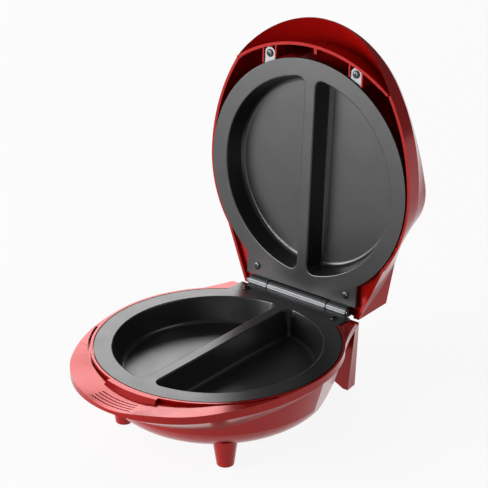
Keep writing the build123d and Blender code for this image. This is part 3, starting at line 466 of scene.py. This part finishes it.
# ------------------------------------------------------------------ thermostat, lamps, wires
# A snap-action thermostat in brown phenolic under a sheet bracket; two small lamps in a black
# holder, whose red and green lenses show on top of the lid.

# Phenolic, moulded in brown: nearly black, with a hard shine and 2 mm ripples.
phenolic = matt_moulding("brown_phenolic", "#23150E", "#332017", 0.35, 500, 0.00002, 1.6)
dress("thermostat", phenolic)
dress("thermostat_bracket", zinc_plate)
dress("thermostat_screws", zinc_plate)
dress("lamp_holder", black_nylon)
dress("lamp_screws", zinc_plate)
dress("upper_wires", glass_sleeve)


def clear_lens(name, deep, pale):
    """Tinted acrylic, polished: clear, a little uneven, with the lamp's pale core under it."""
    made = empty_material(name)
    tree = made.node_tree
    place = node(tree, "ShaderNodeTexCoord").outputs["Object"]
    # swirls of the melt: 3 mm across
    swirl = node(tree, "ShaderNodeTexNoise", {"Vector": place, "Scale": 300, "Detail": 2})
    colour = node(tree, "ShaderNodeMix", {
        "Factor": swirl.outputs[0], "A": linear(deep), "B": linear(pale)}, data_type="RGBA")
    lens = node(tree, "ShaderNodeBsdfPrincipled", {
        "Base Color": colour.outputs["Result"], "Roughness": 0.08, "IOR": 1.49,
        "Transmission Weight": 0.35, "Coat Weight": 0.5, "Coat Roughness": 0.05})
    node(tree, "ShaderNodeOutputMaterial", {"Surface": lens.outputs[0]})
    return made


dress("power_lamp", clear_lens("red_acrylic", "#B01208", "#E0301C"))
dress("ready_lamp", clear_lens("green_acrylic", "#0F7A2A", "#2FB04C"))

# ------------------------------------------------------------------ plate and lug screws
# Dark zinc-plated pan-head screws with a cross recess: two through each plate's rear tab, and
# one through each of the upper plate's front lugs.

crown = 0.55            # power of the ball's height: below 1 it flattens the head's top
recess_length = 1.15    # of the head's radius
recess_height = 1.5     # of the head's height, half of it above the head
half_turn = 3.1         # in radians

cross_head_screws = growing_tree("cross_head_screws", [
    ("Head Radius", "NodeSocketFloat", 0.0034), ("Head Height", "NodeSocketFloat", 0.0013),
    ("Recess Width", "NodeSocketFloat", 0.0008), ("Shank Radius", "NodeSocketFloat", 0.00125),
    ("Shank Length", "NodeSocketFloat", 0.011), ("First", "NodeSocketVector", None),
    ("Last", "NodeSocketVector", None), ("Tilt", "NodeSocketFloat", 0.0),
    ("Seed", "NodeSocketInt", 1), ("Finish", "NodeSocketMaterial", None)])
tree = cross_head_screws
given = node(tree, "NodeGroupInput").outputs
# head: a ball squared off into a pan and cut flat below
ball = node(tree, "GeometryNodeMeshUVSphere", {"Segments": 48, "Rings": 32, "Radius": 1.0})
spot = node(tree, "GeometryNodeInputPosition")
apart = node(tree, "ShaderNodeSeparateXYZ", {0: spot.outputs[0]})
upper = node(tree, "ShaderNodeMath", {0: apart.outputs["Z"], 1: 0.0}, operation="MAXIMUM")
squared = node(tree, "ShaderNodeMath", {0: upper.outputs[0], 1: crown}, operation="POWER")
tall = node(tree, "ShaderNodeMath", {0: squared.outputs[0], 1: given["Head Height"]},
            operation="MULTIPLY")
wide_x = node(tree, "ShaderNodeMath", {0: apart.outputs["X"], 1: given["Head Radius"]},
              operation="MULTIPLY")
wide_y = node(tree, "ShaderNodeMath", {0: apart.outputs["Y"], 1: given["Head Radius"]},
              operation="MULTIPLY")
shaped = node(tree, "ShaderNodeCombineXYZ", {
    "X": wide_x.outputs[0], "Y": wide_y.outputs[0], "Z": tall.outputs[0]})
pan = node(tree, "GeometryNodeSetPosition", {
    "Geometry": ball.outputs["Mesh"], "Position": shaped.outputs[0]})
whole = node(tree, "GeometryNodeMergeByDistance", {
    "Geometry": pan.outputs[0], "Distance": 0.000001})
# recess: two crossed blades sunk three quarters of the way through the head
blade_length = node(tree, "ShaderNodeMath", {0: given["Head Radius"], 1: recess_length},
                    operation="MULTIPLY")
blade_height = node(tree, "ShaderNodeMath", {0: given["Head Height"], 1: recess_height},
                    operation="MULTIPLY")
blade_size = node(tree, "ShaderNodeCombineXYZ", {
    "X": blade_length.outputs[0], "Y": given["Recess Width"], "Z": blade_height.outputs[0]})
blade = node(tree, "GeometryNodeMeshCube", {"Size": blade_size.outputs[0]})
sink = node(tree, "ShaderNodeCombineXYZ", {"Z": given["Head Height"]})
first_blade = node(tree, "GeometryNodeTransform", {
    "Geometry": blade.outputs["Mesh"], "Translation": sink.outputs[0]})
second_blade = node(tree, "GeometryNodeTransform", {
    "Geometry": first_blade.outputs[0], "Rotation": (0, 0, pi / 2)})
cut_once = node(tree, "GeometryNodeMeshBoolean", {
    "Mesh 1": whole.outputs[0], "Mesh 2": first_blade.outputs[0]},
    operation="DIFFERENCE", solver="EXACT")
cut_twice = node(tree, "GeometryNodeMeshBoolean", {
    "Mesh 1": cut_once.outputs["Mesh"], "Mesh 2": second_blade.outputs[0]},
    operation="DIFFERENCE", solver="EXACT")
# shank, which starts inside the head
drop = node(tree, "ShaderNodeMath", {0: given["Shank Length"], 1: -0.5}, operation="MULTIPLY")
hang = node(tree, "ShaderNodeCombineXYZ", {"Z": drop.outputs[0]})
rod = node(tree, "GeometryNodeMeshCylinder", {
    "Vertices": 24, "Radius": given["Shank Radius"], "Depth": given["Shank Length"]})
shank = node(tree, "GeometryNodeTransform", {
    "Geometry": rod.outputs["Mesh"], "Translation": hang.outputs[0]})
screw = node(tree, "GeometryNodeJoinGeometry")
tree.links.new(shank.outputs[0], screw.inputs[0])
tree.links.new(cut_twice.outputs["Mesh"], screw.inputs[0])
# one screw at each end of the row, each stopped at its own angle
row = node(tree, "GeometryNodeMeshLine", {
    "Count": 2, "Start Location": given["First"], "Offset": given["Last"]}, mode="END_POINTS")
spin = node(tree, "FunctionNodeRandomValue", {2: 0.0, 3: half_turn, "Seed": given["Seed"]},
            data_type="FLOAT")
turned = node(tree, "ShaderNodeCombineXYZ", {"Z": spin.outputs[1]})
tilted = node(tree, "ShaderNodeCombineXYZ", {"X": given["Tilt"]})
spun = node(tree, "FunctionNodeRotateEuler", {0: turned.outputs[0], 1: tilted.outputs[0]})
placed = node(tree, "GeometryNodeInstanceOnPoints", {
    "Points": row.outputs[0], "Instance": screw.outputs[0], "Rotation": spun.outputs[0]})
single = node(tree, "GeometryNodeRealizeInstances", {"Geometry": placed.outputs[0]})
painted = node(tree, "GeometryNodeSetMaterial", {
    "Geometry": single.outputs[0], "Material": given["Finish"]})
node(tree, "NodeGroupOutput", {"Geometry": painted.outputs[0]})

# Zinc plating, passivated dark: grey with a soft shine, in blotches of 1.1 mm.
screw_steel = plain_metal("darkened_zinc_screw", "#2E2F31", "#5E6062", 0.3, 0.42, 900)


def in_lid(x, y, z):
    """A point of the open lid from its own mm: x right, y to the hinge, z away from the food."""
    return (Vector((x, 0, 0)) + to_the_hinge * y - out_of_the_lid * z) / 1000 + lid_origin


lean = radians(86.2)     # the lid's screws stand square on its open face
screw_rows = [
    # node, body, first, last, tilt, head radius, head height, shank length, seed
    ("lower_rear_screws", "base", (-0.0471, 0.0795, 0.0675), (0.0471, 0.0795, 0.0675), 0.0,
     0.0034, 0.0013, 0.011, 4),
    ("upper_rear_screws", "lid", in_lid(-47.1, 92.1, 3), in_lid(47.1, 92.1, 3), lean,
     0.0034, 0.0013, 0.012, 7),
    ("upper_lug_screws", "lid", in_lid(-44, -96.8, 5), in_lid(44, -96.8, 5), lean,
     0.0033, 0.0016, 0.012, 2),
]
for name, body, first, last, tilt, radius, height, length, seed in screw_rows:
    pair = grown(name + "_dressed", cross_head_screws, head_radius=radius, head_height=height,
                 shank_length=length, first=first, last=last, tilt=tilt, seed=seed,
                 finish=screw_steel)
    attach(pair, body)
    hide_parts(name)
